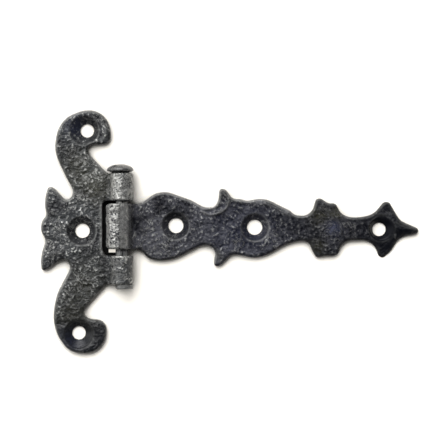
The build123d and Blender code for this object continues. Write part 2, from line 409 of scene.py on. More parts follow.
def wall_foot(mesh):
    """Straight pieces of the leaf's outline: where its tall upright walls meet the back plane."""
    points, _ = mesh_points(mesh)
    mesh.calc_loop_triangles()
    corners = np.empty(len(mesh.loop_triangles) * 3, np.int32)
    mesh.loop_triangles.foreach_get("vertices", corners)
    corners = corners.reshape(-1, 3)
    heights = points[corners][:, :, 2]
    on_back = heights < 0.01
    side = np.cross(points[corners[:, 1]] - points[corners[:, 0]],
                    points[corners[:, 2]] - points[corners[:, 0]])
    side /= np.maximum(np.linalg.norm(side, axis=1), 1e-12)[:, None]
    walls = (on_back.sum(1) == 2) & (heights.max(1) > 1.5) & (np.abs(side[:, 2]) < 0.1)
    feet = corners[walls][on_back[walls]].reshape(-1, 2)
    return points[feet[:, 0], :2], points[feet[:, 1], :2]


def hook_span(mesh):
    """Lowest and highest y of the strap's hook, which is all that lies to the left of the pin."""
    points, _ = mesh_points(mesh)
    along = points[points[:, 0] < -BORE_RADIUS, 1]
    return along.min(), along.max()


def even_skin(mesh, spacing):
    """The same solid with one even skin of small quads."""
    carrier = bpy.data.objects.new("skin", mesh)
    bpy.context.scene.collection.objects.link(carrier)
    remesh = carrier.modifiers.new("skin", "REMESH")
    remesh.mode = "VOXEL"
    remesh.voxel_size = spacing
    view = bpy.context.evaluated_depsgraph_get()
    skin = bpy.data.meshes.new_from_object(carrier.evaluated_get(view), depsgraph=view)
    bpy.data.objects.remove(carrier)
    return skin


def front_heights(x, y, rim_gap, notch, leaf, settings):
    """Front height of the plate in the solid and as cast, then the marks that colour it: how far
    inside a countersink a point lies, which darkens it as black finish and painted shade, its worn
    rim with a painted highlight on one side, and the height of the relief.

    In the solid the height is the least of the flat face, the bevel and the countersinks. As cast
    it is the flat face less the quarter-ellipse rim and the spear head's facets, softly joined to
    the worn countersinks, plus the relief and the hammer marks.
    """
    old_top = PLATE_THICKNESS - np.clip(EDGE_BEVEL - rim_gap, 0.0, EDGE_BEVEL)
    new_top = PLATE_THICKNESS - round_drop(rim_gap * (1.0 + 2.5 * notch), settings.rim_depth / MM,
                                           settings.rim_width / MM)
    new_top -= spear_drop(x, y)
    black_and_shade = np.zeros(len(x))
    rim_wear_and_highlight = np.zeros(len(x))
    for hole, (slide_x, slide_y, black, highlight_way) in zip(leaf["holes"], leaf["sinks"]):
        old_top = np.minimum(old_top, cone_height(x, y, hole)[0])
        worn_hole = (*hole[:4], hole[4] + slide_x, hole[5] + slide_y)
        cone, past_rim = cone_height(x, y, worn_hole)
        new_top = soft_min(new_top, cone, settings.hole_rim_round / MM)
        # Inside a countersink the finish is black, deepened as painted shade
        black_and_shade = np.maximum(black_and_shade, black * (1.0 - smooth_step(past_rim, -0.5, 0.0)))
        # One side of each worn countersink rim is brighter, as a painted highlight
        way = np.arctan2(y - hole[1], x - hole[0]) - np.radians(highlight_way)
        lit_rim_side = 0.35 + 0.65 * smooth_step(np.cos(way), -0.3, 0.7)
        rim_wear_and_highlight = np.maximum(rim_wear_and_highlight, lit_rim_side * np.exp(-(past_rim / 0.4) ** 2))
    hammer_depth = settings.hammer_depth / MM
    marks = hammered(x, y, settings.hammer_spacing / MM, leaf["seed"]) * hammer_depth
    raised = relief(x, y, leaf["relief"])
    new_top += (marks - hammer_depth + raised) * (1.0 - np.minimum(black_and_shade * 1.2, 1.0))
    return (np.maximum(old_top, HOLE_LAND), np.maximum(new_top, THINNEST_EDGE), black_and_shade, rim_wear_and_highlight,
            raised)


def pit_depths(x, y, z, plate, seed, settings):
    """How deep the knuckles' pits go: noise over the way round the pin and along it, which fades
    out towards the bore and on the plate."""
    round_pin = np.hypot(x, z - AXIS_HEIGHT)
    outer = (1.0 - plate) * smooth_step(round_pin, BORE_RADIUS + 0.9, BORE_RADIUS + 1.4)
    around = np.arctan2(z - AXIS_HEIGHT, x) * KNUCKLE_RADIUS
    pits = 0.5 + 0.5 * hammered(around, y, settings.pit_spacing / MM, seed)
    return outer * pits * settings.pit_depth / MM


def hook_pull(x, y, low, high):
    """How far the hook's left face is drawn towards the pin: a quarter circle at both ends, plus a
    set amount that wavers along y."""
    end_gap = np.clip(np.minimum(high - y, y - low), 0.0, HOOK_ROUND)
    pull = HOOK_ROUND - np.sqrt(HOOK_ROUND ** 2 - (HOOK_ROUND - end_gap) ** 2)
    pull += 0.4 + 0.15 * lattice_noise(y, y * 0.0, 2.6, 5)
    return pull * (1.0 - smooth_step(x, -6.0, -3.6))


def knuckle_wear_and_painted_light(x, y, z, normals, plate, side):
    """How bare the knuckles are, with painted light, and how satin the strap's is over the pin. They
    are lighter on their left faces and on the rims between them, as painted highlights, and the
    lower one is darker. A painted shadow line runs along the notch's top, the satin band has
    painted shade on its right flank, and the hook is lighter towards the pin."""
    bare = (1.0 - plate) * smooth_step(z, 3.2, 6.0) * (1.0 - 0.8 * smooth_step(-y, 9.5, 10.5))
    # Painted highlight: faces turned to the left are lighter
    bare *= 0.55 + 0.6 * smooth_step(-normals[:, 0], -0.35, 0.3)
    if side < 0:
        # Painted highlights along the rims between the knuckles
        bare += (1.0 - plate) * smooth_step(z, 5.0, 7.0) * relief(x, y, KNUCKLE_RIM_HIGHLIGHTS)
        # Painted shadow line along the notch's top
        bare *= 1.0 - np.exp(-((y - NOTCH_TOP) / 0.3) ** 2)
        return bare, np.zeros(len(x))
    satin = smooth_step(x, -0.9, -0.3) * smooth_step(z, 3.0, 4.0) * (1.0 - plate)
    # Painted shade on the satin band's right flank
    bare *= 1.0 + satin * (0.25 - 0.85 * smooth_step(x, 1.4, 3.0))
    bare *= 1.0 + (1.0 - satin) * (0.35 * smooth_step(x, -3.6, -1.6) - 0.2)
    bare += satin * relief(x, y, KNUCKLE_SCRATCHES)
    return bare, satin


def cast_leaf(node, name, body, leaf, settings):
    """Skin of a leaf with the marks of its casting, and the values that its material reads.

    Over the plate, points of the front go to the front height as cast, and those below it move in
    proportion. Round the knuckles the skin keeps its shape, and its pits go straight in.
    """
    side = leaf["side"]
    solid = merged_copy(node)
    starts, ends = wall_foot(solid)
    if side > 0:
        hook = hook_span(solid)
        close_knuckle(solid, *hook)
    skin = even_skin(solid, settings.skin_spacing)
    points, normals = mesh_points(skin)
    x, y, z = points.T
    rim_gap = line_distance(x, y, starts, ends)
    plate_from = leaf["plate_from"]
    plate = np.maximum(smooth_step(side * x, plate_from, plate_from + PLATE_FADE),
                       smooth_step(np.abs(y), *ARM_FROM))
    notch = (smooth_step(x, -10.0, -9.0) * (1.0 - smooth_step(np.abs(y), 10.0, 11.5))) * (side < 0)
    old_top, new_top, black_and_shade, rim_wear_and_highlight, raised = front_heights(x, y, rim_gap, notch, leaf, settings)
    front = (normals[:, 2] > 0.3) & (z > THINNEST_EDGE)
    level = np.where(front, 1.0, np.clip(z / old_top, 0.0, 1.0))
    z += plate * (level * new_top - z)
    depth = pit_depths(x, y, z, plate, leaf["seed"] + 9, settings)
    if side > 0:
        x += hook_pull(x, y, *hook)
    moved = np.stack([x, y, z], axis=1) - normals * depth[:, None]
    moved[:, 2] = np.maximum(moved[:, 2], 0.0)
    set_points(skin, moved)

    facing = smooth_step(normals[:, 2], 0.1, 0.5)
    # Painted highlight on the front rims: upper and left ones lighter, and those in the notch too
    lit_side = 0.1 + 0.9 * smooth_step(normals[:, 1] - 0.4 * normals[:, 0], -0.3, 0.5)
    lit_side = np.maximum(lit_side, notch)
    near_rim = 1.0 - smooth_step(rim_gap, 0.2, settings.rim_width / MM + 0.3)
    set_values(skin, "rim", near_rim * lit_side * plate)
    # Darkness inside the countersinks: black finish with painted shade
    set_values(skin, "black_and_shade", black_and_shade * plate)
    # Crests: worn relief, and worn countersink rims with a painted highlight on one side
    set_values(skin, "crest", np.clip(rim_wear_and_highlight + raised * 2.0, -1.0, 1.0) * plate * facing)
    bare, satin = knuckle_wear_and_painted_light(x, y, z, normals, plate, side)
    set_values(skin, "knuckle", bare)
    set_values(skin, "satin", satin)
    # Lighter or darker along the leaf and in patches, one patch a painted highlight, with painted shade
    # in the knuckles' root and on the lower and right rims
    places, amounts = np.array(leaf["wear"]).T
    worn = np.interp(y if side < 0 else x, places, amounts) + spots(x, y, leaf["patches"])
    # Painted shade in the concave root of the knuckles
    root_x, reach = KNUCKLE_ROOT
    painted_root_shade = np.exp(-((x - root_x) / reach) ** 2) * (1.0 - smooth_step(np.abs(y), *ROOT_ENDS))
    # Painted shade: the lower and right rims darker
    painted_rim_shade = near_rim * (1.0 - lit_side) * facing * plate
    set_values(skin, "worn", worn * (1.0 - 0.5 * painted_root_shade * plate) * (1.0 - 0.9 * painted_rim_shade))
    for tint, spots_of_tint in leaf["tints"].items():
        set_values(skin, tint, np.minimum(spots(x, y, spots_of_tint), 1.0))
    return add_piece(name, skin, body, node)


def pin_profile(foot_low, head_high):
    """Rows of the pin from its foot to its head: place along Y, radius, and how far the centre has
    slid, from 1 at the foot by 0 along the shank to -1 at the head. The head's top is a quarter
    ellipse over its rim."""
    foot_high, head_low = foot_low + FOOT_LENGTH, head_high - HEAD_LENGTH
    waist = head_low + HEAD_RIM
    rows = [
        (foot_low, 0.0, 1), (foot_low, 1.2, 1), (foot_low, 2.4, 1), (foot_low + 0.04, 2.8, 1),
        (foot_low + 0.2, 3.1, 1), (foot_low + 0.5, 3.33, 1), (foot_low + 1.0, FOOT_RADIUS, 1),
        (foot_high - 0.1, 3.33, 1), (foot_high, 3.2, 1), (foot_high, 2.5, 0.3),
        (foot_high + 0.01, PIN_RADIUS, 0), (foot_high + 0.6, PIN_RADIUS, 0), (-8.0, PIN_RADIUS, 0),
        (0.0, PIN_RADIUS, 0), (10.0, PIN_RADIUS, 0), (head_low - 0.6, PIN_RADIUS, 0),
        (head_low - 0.01, PIN_RADIUS, 0), (head_low, 2.5, -0.3), (head_low, 3.2, -1),
        (head_low + 0.3, 3.6, -1), (head_low + 0.4, 4.3, -1), (waist - 0.3, 4.8, -1),
        (waist + 0.02, HEAD_RADIUS, -1),
    ]
    quarter = np.radians(np.linspace(0.0, 90.0, 14)[1:-1])
    rows += [(waist + np.sin(t) * (head_high - waist), np.cos(t) * HEAD_RADIUS, -1) for t in quarter]
    return np.array(rows + [(head_high, 0.0, -1)])


def pin_skin(settings):
    """Pin as rings about the hinge axis: a profile of radius against the length along Y, whose
    centre slides sideways from the shank to the head and to the foot. Noise hammers both ends, the
    shank has fine lines and one groove along it, and a chip is pressed into the head. Both ends
    close in one point."""
    low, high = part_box("hinge_pin")
    low, high = np.array(low) / MM, np.array(high) / MM
    head_high = high[1]
    rows = pin_profile(low[1], head_high)
    stations = np.linspace(0, len(rows) - 1, 12 * (len(rows) - 1) + 1)
    along, radius, lean = (np.interp(stations, np.arange(len(rows)), column) for column in rows.T)
    sides = settings.pin_sides
    angles = np.linspace(0.0, 2 * np.pi, sides, endpoint=False)
    y, turn = np.meshgrid(along, angles, indexing="ij")
    ends = np.abs(lean)[:, None]
    r = radius[:, None] * (1.0 - ends * 0.008 * (1.0 + hammered(turn * 4.0, y, 2.0, 41)))
    past_chip = y - head_high + CHIP_DROP
    r -= CHIP_DEPTH * np.exp(-((turn - CHIP_ANGLE) / 0.2) ** 2 - (past_chip / 0.38) ** 2)
    drawn = 0.5 + 0.5 * lattice_noise(turn * 12.0 + 0.15 * y, turn * 0.0, 1.0, 8)
    groove = np.exp(-((turn - GROOVE_ANGLE) / 0.12) ** 2)
    r -= (1.0 - ends) * (LINE_DEPTH * drawn + GROOVE_DEPTH * groove)
    x = r * np.cos(turn) + (np.where(lean > 0, FOOT_SHIFT, HEAD_SHIFT) * lean)[:, None]
    z = np.clip(r * np.sin(turn) + AXIS_HEIGHT, low[2], high[2])
    points = np.stack([x, y, z], axis=2).reshape(-1, 3)
    spoke = np.arange(sides)
    after = (spoke + 1) % sides
    last_ring = (len(along) - 2) * sides
    walls = ring_quads(len(along) - 2, sides) + sides
    first = np.stack([np.zeros(sides, int), sides + spoke, sides + after], axis=1)
    last = np.stack([np.full(sides, last_ring + sides), last_ring + after, last_ring + spoke], axis=1)
    mesh = bpy.data.meshes.new("hinge pin")
    mesh.from_pydata((points * MM).tolist(), [], walls.tolist() + first.tolist() + last.tolist())
    clean = bmesh.new()
    clean.from_mesh(mesh)
    bmesh.ops.delete(clean, geom=[v for v in clean.verts if not v.link_faces], context="VERTS")
    bmesh.ops.recalc_face_normals(clean, faces=clean.faces)
    clean.to_mesh(mesh)
    clean.free()
    store_pin_wear(mesh, low[1] + FOOT_LENGTH, head_high - HEAD_LENGTH, head_high)
    return add_piece("headed_pin", mesh, "frame_side", "hinge_pin")


def store_pin_wear(mesh, foot_high, head_low, head_high):
    """Stores how bare, satin and shaded the pin is. Its bareness has a painted highlight just above
    the hook and painted shade below it. It has painted shade beside its middle, at both sides, at
    its two rows in shade, under the head's rim and in the chip."""
    x, y, z = mesh_points(mesh)[0].T
    on_head = smooth_step(y, head_low - 0.1, head_low)
    on_foot = 1.0 - smooth_step(y, foot_high, foot_high + 0.1)
    # Painted shade below the hook, and a painted highlight just above it
    painted_shade_below_hook = 1.0 - smooth_step(y, -7.0, -6.0)
    painted_light_above_hook = np.exp(-((y - 9.6) / 0.6) ** 2)
    bare = 0.75 + 0.8 * painted_light_above_hook - 0.35 * painted_shade_below_hook - 0.47 * on_head + 0.05 * on_foot
    across = x / PIN_RADIUS
    # Painted shade beside the middle, along the groove, and at both sides
    shaded = np.maximum(np.exp(-((across - 0.2) / 0.13) ** 2), smooth_step(np.abs(across), 0.8, 0.95))
    for row in SHADED_ROWS:
        shaded = np.maximum(shaded, np.exp(-((y - row) / 0.3) ** 2))
    shaded *= 1.0 - np.maximum(on_head, on_foot)
    turn = np.arctan2(z - AXIS_HEIGHT, x + HEAD_SHIFT)
    past_chip = y - head_high + CHIP_DROP
    shade_in_chip = np.exp(-((turn - CHIP_ANGLE) / 0.24) ** 2 - (past_chip / 0.5) ** 2)
    shade_under_rim = on_head * (1.0 - smooth_step(y, head_low + 0.3, head_low + 0.55))
    set_values(mesh, "knuckle", bare)
    set_values(mesh, "satin", np.full(len(y), 0.9))
    set_values(mesh, "worn", np.ones(len(y)))
    # On the pin this darkness is all painted shade
    set_values(mesh, "black_and_shade", 1.3 * np.maximum(shaded, np.maximum(shade_in_chip, shade_under_rim)))


def group_tree(name, inputs, outputs):
    """Empty shader node group with named sockets: inputs are (name, kind, default)."""
    tree = bpy.data.node_groups.new(name, "ShaderNodeTree")
    for label, kind, default in inputs:
        socket = tree.interface.new_socket(label, in_out="INPUT", socket_type="NodeSocket" + kind)
        if default is not None:
            socket.default_value = default
    for label, kind in outputs:
        tree.interface.new_socket(label, in_out="OUTPUT", socket_type="NodeSocket" + kind)
    return tree


def add_node(tree, kind, inputs=None, **settings):
    """Adds a node; an input's value is either a socket to link or a number to set."""
    node = tree.nodes.new(kind)
    for name, value in settings.items():
        setattr(node, name, value)
    for name, value in (inputs or {}).items():
        if isinstance(value, bpy.types.NodeSocket):
            tree.links.new(value, node.inputs[name])
        else:
            node.inputs[name].default_value = value
    return node


def maths(tree, operation, *values, clamp=False):
    """Result of a Math node."""
    node = add_node(tree, "ShaderNodeMath", dict(enumerate(values)), operation=operation,
                    use_clamp=clamp)
    return node.outputs[0]


def remap(tree, value, low, high, to_low=0.0, to_high=1.0, smooth=True):
    """Value mapped from one range to another and held inside it."""
    kind = "SMOOTHSTEP" if smooth else "LINEAR"
    node = add_node(tree, "ShaderNodeMapRange", {
        "Value": value, "From Min": low, "From Max": high, "To Min": to_low, "To Max": to_high,
    }, interpolation_type=kind)
    return node.outputs["Result"]


def blend_colour(tree, amount, first, second):
    """Mix of two colours."""
    node = add_node(tree, "ShaderNodeMix", {0: amount, 6: first, 7: second}, data_type="RGBA")
    return node.outputs[2]


def noise(tree, place, scale, detail=3.0, roughness=0.55, distortion=0.0):
    """Value of a Noise Texture."""
    node = add_node(tree, "ShaderNodeTexNoise", {
        "Vector": place, "Scale": scale, "Detail": detail, "Roughness": roughness,
        "Distortion": distortion,
    })
    return node.outputs["Fac"]


def box_mask(tree, box):
    """1 inside a box of the object's own x and y, in millimetres, fading to 0 round it."""
    cx, cy, half_width, half_height, fade = box
    place = add_node(tree, "ShaderNodeTexCoord").outputs["Object"]
    axes = add_node(tree, "ShaderNodeSeparateXYZ", {0: place}).outputs
    sides = []
    for axis, centre, half in (("X", cx, half_width), ("Y", cy, half_height)):
        off = maths(tree, "ABSOLUTE", maths(tree, "SUBTRACT", axes[axis], centre * MM))
        sides.append(remap(tree, off, (half + fade) * MM, half * MM))
    return maths(tree, "MULTIPLY", *sides)


def cast_grain():
    """Sand-cast grain: a bump height, bright specks on its high points, dark pits in its low
    points, curly veins and a slow change of tone."""
    tree = group_tree("Cast grain", [
        ("Place", "Vector", None), ("Grain scale", "Float", 1000.0), ("Vein scale", "Float", 260.0),
    ], [("Height", "Float"), ("Specks", "Float"), ("Pits", "Float"), ("Veins", "Float"),
        ("Curls", "Float"), ("Tone", "Float")])
    given = tree.nodes.new("NodeGroupInput").outputs
    place = given["Place"]
    fine = noise(tree, place, given["Grain scale"], 3.0, 0.6)
    coarse = noise(tree, place, maths(tree, "MULTIPLY", given["Grain scale"], 0.4), 2.0, 0.5, 0.4)
    curl = noise(tree, place, given["Vein scale"], 3.0, 0.55, 0.8)
    ridge = maths(tree, "ABSOLUTE", maths(tree, "SUBTRACT", curl, 0.5))
    patches = noise(tree, place, maths(tree, "MULTIPLY", given["Vein scale"], 0.6), 2.0)
    veins = maths(tree, "MULTIPLY", remap(tree, ridge, 0.022, 0.0), remap(tree, patches, 0.46, 0.6))
    specks = maths(tree, "MULTIPLY", remap(tree, fine, 0.53, 0.66), remap(tree, coarse, 0.4, 0.58))
    pits = remap(tree, fine, 0.5, 0.38)
    height = maths(tree, "MULTIPLY_ADD", fine, 0.7, maths(tree, "MULTIPLY", coarse, 1.2))
    height = maths(tree, "MULTIPLY_ADD", veins, 0.3, height)
    curls = noise(tree, place, maths(tree, "MULTIPLY", given["Grain scale"], 1.1), 3.0, 0.6, 1.2)
    tone = noise(tree, place, 110.0, 3.0, 0.6)
    result = tree.nodes.new("NodeGroupOutput")
    for label, socket in (("Height", height), ("Specks", specks), ("Pits", pits), ("Veins", veins),
                          ("Curls", curls), ("Tone", tone)):
        tree.links.new(socket, result.inputs[label])
    return tree


def worn_black_and_painted_light():
    """Black finish worn back to grey iron: on specks and veins, which stand closer where the tone
    is high, on rims and crests, and over the knuckles, mottled by the curls, which satin evens out.
    The rims' brightness is a painted highlight, as is one side of each countersink rim and the
    knuckles' left faces. Pits stay black, and it is darkest inside the countersinks, as black finish
    with painted shade, and in the pin's painted shade."""
    tree = group_tree("Worn black finish and painted light", [
        ("Black", "Color", None), ("Iron", "Color", None), ("Bare", "Color", None),
        ("Specks", "Float", 0.0), ("Pits", "Float", 0.0), ("Veins", "Float", 0.0),
        ("Curls", "Float", 0.5), ("Tone", "Float", 0.5), ("Rim", "Float", 0.0), ("Crest", "Float", 0.0),
        ("Black_and_shade", "Float", 0.0), ("Knuckle", "Float", 0.0), ("Worn", "Float", 1.0),
        ("Wear", "Float", 0.5), ("Olive", "Float", 0.0), ("Blue", "Float", 0.0),
        ("Satin", "Float", 0.0), ("Sparkle", "Float", 1.0),
    ], [("Colour", "Color"), ("Roughness", "Float"), ("Metallic", "Float")])
    given = tree.nodes.new("NodeGroupInput").outputs
    open_face = maths(tree, "MULTIPLY_ADD", given["Black_and_shade"], -0.75, 1.0)
    wear = maths(tree, "MULTIPLY", given["Wear"], given["Worn"])
    patchy = remap(tree, given["Tone"], 0.35, 0.65)
    ground = maths(tree, "MULTIPLY", maths(tree, "ADD", patchy, 0.3), wear)
    ground = maths(tree, "MULTIPLY_ADD", given["Pits"], -0.4, ground)
    ground = maths(tree, "MULTIPLY", ground, open_face, clamp=True)
    base = blend_colour(tree, ground, given["Black"], given["Iron"])
    for label, tint in TINT_COLOURS.items():
        broken = remap(tree, given["Curls"], 0.35, 0.6, 0.25, 0.85)
        base = blend_colour(tree, maths(tree, "MULTIPLY", given[label], broken), base, tint)
    marks = maths(tree, "MAXIMUM", given["Specks"], given["Veins"])
    marks = maths(tree, "MULTIPLY", marks, maths(tree, "MULTIPLY", wear, open_face))
    dense = remap(tree, given["Tone"], 0.38, 0.6, 0.55, 1.35)
    marks = maths(tree, "MULTIPLY", marks, maths(tree, "MULTIPLY", given["Sparkle"], dense))
    # Rims: painted highlight; crests: wear, with a painted highlight on one side of countersink rims
    lit_and_worn_edges = maths(tree, "MAXIMUM", maths(tree, "MULTIPLY", given["Crest"], 0.5), given["Rim"])
    lit_and_worn_edges = maths(tree, "MULTIPLY", lit_and_worn_edges, remap(tree, given["Specks"], 0.0, 1.0, 0.5, 1.3))
    lit_and_worn_edges = maths(tree, "MULTIPLY", lit_and_worn_edges, maths(tree, "MAXIMUM", wear, 0.25))
    even_out = maths(tree, "MULTIPLY", maths(tree, "SUBTRACT", 0.5, given["Curls"]), given["Satin"])
    mottle = remap(tree, maths(tree, "MULTIPLY_ADD", even_out, 0.7, given["Curls"]), 0.38, 0.6)
    # The knuckles' bareness carries painted highlights and painted shade too
    round_face = maths(tree, "MULTIPLY", maths(tree, "MULTIPLY", given["Knuckle"], open_face), mottle)
    bright = maths(tree, "MAXIMUM", maths(tree, "MAXIMUM", marks, lit_and_worn_edges), round_face, clamp=True)
    colour = blend_colour(tree, bright, base, given["Bare"])
    result = tree.nodes.new("NodeGroupOutput")
    tree.links.new(colour, result.inputs["Colour"])
    tree.links.new(remap(tree, bright, 0.0, 1.0, 0.27, 0.38), result.inputs["Roughness"])
    tree.links.new(remap(tree, bright, 0.0, 1.0, 0.1, 0.8), result.inputs["Metallic"])
    return tree


def iron(name, finish, tint, wear, sparkle, gloss, grain_depth,
         marks=("Specks", "Pits", "Veins", "Curls", "Tone")):
    """Material of one piece: the shared grain and the worn finish with its painted light, with the
    piece's own values. Places that are black or painted in shade, and satin places, have less of
    the grain's bump."""
    material = bpy.data.materials.new(name)
    material.use_nodes = True
    tree = material.node_tree
    shader = tree.nodes["Principled BSDF"]
    place = add_node(tree, "ShaderNodeTexCoord").outputs["Object"]
    grain = add_node(tree, "ShaderNodeGroup", node_tree=bpy.data.node_groups["Cast grain"])
    tree.links.new(place, grain.inputs["Place"])
    worn = add_node(tree, "ShaderNodeGroup", node_tree=bpy.data.node_groups["Worn black finish and painted light"])
    for label in marks:
        tree.links.new(grain.outputs[label], worn.inputs[label])
    values = {}
    for label in ("rim", "crest", "black_and_shade", "knuckle", "worn", "olive", "blue", "satin"):
        values[label] = add_node(tree, "ShaderNodeAttribute", attribute_name=label).outputs["Fac"]
        tree.links.new(values[label], worn.inputs[label.capitalize()])
    for label, value in (("Black", (*finish.black, 1.0)), ("Iron", (*tint, 1.0)),
                         ("Bare", (*finish.bare, 1.0)), ("Wear", wear), ("Sparkle", sparkle)):
        worn.inputs[label].default_value = value
    for label, socket in (("Colour", "Base Color"), ("Roughness", "Roughness"),
                          ("Metallic", "Metallic")):
        tree.links.new(worn.outputs[label], shader.inputs[socket])
    shader.inputs["Specular IOR Level"].default_value = gloss
    calm = maths(tree, "MAXIMUM", values["black_and_shade"], maths(tree, "MULTIPLY", values["satin"], 0.3))
    height = maths(tree, "MULTIPLY", grain.outputs["Height"],
                   maths(tree, "MULTIPLY_ADD", calm, -0.85, 1.0, clamp=True))
    bump = add_node(tree, "ShaderNodeBump", {
        "Height": height, "Strength": 1.0, "Distance": grain_depth,
    })
    tree.links.new(bump.outputs["Normal"], shader.inputs["Normal"])
    return material


def paper():
    """White paper with painted shade: its colour goes dark where the hinge is near and black inside
    the notch. Seen directly or in a reflection it glows up to white in the open, less where the
    hinge is near and not at all inside the notch, with a painted pool of light in the gap below
    the hook. From behind the camera looks through it."""
    material = bpy.data.materials.new("White paper")
    material.use_nodes = True
    tree = material.node_tree
    shader = tree.nodes["Principled BSDF"]
    # Painted contact shadow: the paper darkens where the hinge is near, and is black in the notch
    near = add_node(tree, "ShaderNodeAmbientOcclusion", {"Distance": 0.012}, samples=8).outputs["AO"]
    notch_shade = box_mask(tree, PAINTED_NOTCH_SHADE)
    open_floor = maths(tree, "SUBTRACT", remap(tree, near, 0.22, 0.42), notch_shade, clamp=True)
    tree.links.new(blend_colour(tree, open_floor, PAPER_SHADED, PAPER_OPEN),
                   shader.inputs["Base Color"])
    shader.inputs["Roughness"].default_value = 0.9
    shader.inputs["Specular IOR Level"].default_value = 0.0
    shader.inputs["Emission Color"].default_value = PAPER_GLOW
    rays = add_node(tree, "ShaderNodeLightPath").outputs
    seen = maths(tree, "MAXIMUM", rays["Is Camera Ray"],
                 maths(tree, "MAXIMUM", rays["Is Glossy Ray"], rays["Is Transmission Ray"]))
    # Its glow fades where the hinge is near, is off in the notch, and adds a painted pool of light
    # below the hook
    shade = add_node(tree, "ShaderNodeAmbientOcclusion", {"Distance": 0.005}, samples=8).outputs["AO"]
    glow = remap(tree, shade, 0.57, 0.92, 0.0, 0.4)
    glow = maths(tree, "SUBTRACT", glow, notch_shade, clamp=True)
    glow = maths(tree, "MULTIPLY_ADD", box_mask(tree, PAINTED_GAP_LIGHT), 0.8, glow)
    tree.links.new(maths(tree, "MULTIPLY", seen, glow), shader.inputs["Emission Strength"])
    behind = maths(tree, "MULTIPLY", rays["Is Camera Ray"],
                   add_node(tree, "ShaderNodeNewGeometry").outputs["Backfacing"])
    clear = add_node(tree, "ShaderNodeBsdfTransparent").outputs["BSDF"]
    surface = add_node(tree, "ShaderNodeMixShader", {0: behind, 1: shader.outputs["BSDF"], 2: clear})
    tree.links.new(surface.outputs["Shader"], tree.nodes["Material Output"].inputs["Surface"])
    return material


def lay_paper(scene):
    """Flat square of paper just in front of the hinge's back."""
    mesh = bpy.data.meshes.new("floor")
    corners = [(x, y, FLOOR_HEIGHT) for x, y in (
        (-FLOOR_REACH, -FLOOR_REACH), (FLOOR_REACH, -FLOOR_REACH),
        (FLOOR_REACH, FLOOR_REACH), (-FLOOR_REACH, FLOOR_REACH))]
    mesh.from_pydata(corners, [], [(0, 1, 2, 3)])
    ground = bpy.data.objects.new("floor", mesh)
    scene.collection.objects.link(ground)
    mesh.materials.append(paper())


def light_room(scene, stage):
    """Room with an even level of light, more from below the horizon, and soft panes added to it. It
    shows white to the camera, through glass, and in reflections close to the horizon."""
    room = bpy.data.worlds.new("Room")
    room.use_nodes = True
    scene.world = room
    tree = room.node_tree
    light = tree.nodes["Background"]
    light.inputs["Color"].default_value = (1.0, 1.0, 1.0, 1.0)
    ray = add_node(tree, "ShaderNodeTexCoord").outputs["Generated"]
    height = add_node(tree, "ShaderNodeSeparateXYZ", {0: ray}).outputs["Z"]
    level = remap(tree, height, 0.0, -0.1, stage.room_light, 1.0)
    for way, spread, setting in LIGHT_PANES:
        toward = add_node(tree, "ShaderNodeVectorMath", {0: ray, 1: Vector(way).normalized()},
                          operation="DOT_PRODUCT").outputs["Value"]
        level = maths(tree, "ADD", remap(tree, toward, *spread, 0.0, getattr(stage, setting)), level)
    rays = add_node(tree, "ShaderNodeLightPath").outputs
    low_shine = maths(tree, "MULTIPLY", rays["Is Glossy Ray"], remap(tree, height, 0.15, 0.1))
    seen = maths(tree, "MAXIMUM", low_shine,
                 maths(tree, "MAXIMUM", rays["Is Camera Ray"], rays["Is Transmission Ray"]))
    strength = add_node(tree, "ShaderNodeMix", {0: seen, 2: level, 3: 1.0}).outputs[0]
    tree.links.new(strength, light.inputs["Strength"])


def place_camera(scene, stage):
    """Camera straight in front, whose view is as wide as the setting at the leaves' height."""
    lens = bpy.data.cameras.new("Camera")
    lens.sensor_width = 36.0
    lens.lens = lens.sensor_width * (stage.camera_height - LEAF_HEIGHT) / stage.view_width
    camera = bpy.data.objects.new("Camera", lens)
    camera.location = (*VIEW_CENTRE, stage.camera_height)
    scene.collection.objects.link(camera)
    scene.camera = camera


class HingeShape(bpy.types.PropertyGroup):
    """Sizes of the cast surface."""
    skin_spacing: bpy.props.FloatProperty(
        name="Skin spacing", description="Side of the small quads of a leaf's skin",
        default=0.00027, unit="LENGTH")
    rim_width: bpy.props.FloatProperty(
        name="Rim width", description="Width of the rounded front rim of the leaves",
        default=0.0013, unit="LENGTH")
    rim_depth: bpy.props.FloatProperty(
        name="Rim depth", description="How far the rounded front rim falls",
        default=0.0012, unit="LENGTH")
    hole_rim_round: bpy.props.FloatProperty(
        name="Countersink rim", description="Width over which a countersink's rim is rounded",
        default=0.0005, unit="LENGTH")
    hammer_spacing: bpy.props.FloatProperty(
        name="Hammer mark spacing", description="Distance between the marks on the flat faces",
        default=0.0032, unit="LENGTH")
    hammer_depth: bpy.props.FloatProperty(
        name="Hammer mark depth", description="Depth of the marks on the flat faces",
        default=0.0002, unit="LENGTH")
    pit_spacing: bpy.props.FloatProperty(
        name="Pit spacing", description="Distance between the pits on the knuckles",
        default=0.0012, unit="LENGTH")
    pit_depth: bpy.props.FloatProperty(
        name="Pit depth", description="Depth of the pits on the knuckles",
        default=0.0001, unit="LENGTH")
    pin_sides: bpy.props.IntProperty(
        name="Pin sides", description="Points round the pin", default=96, min=24)


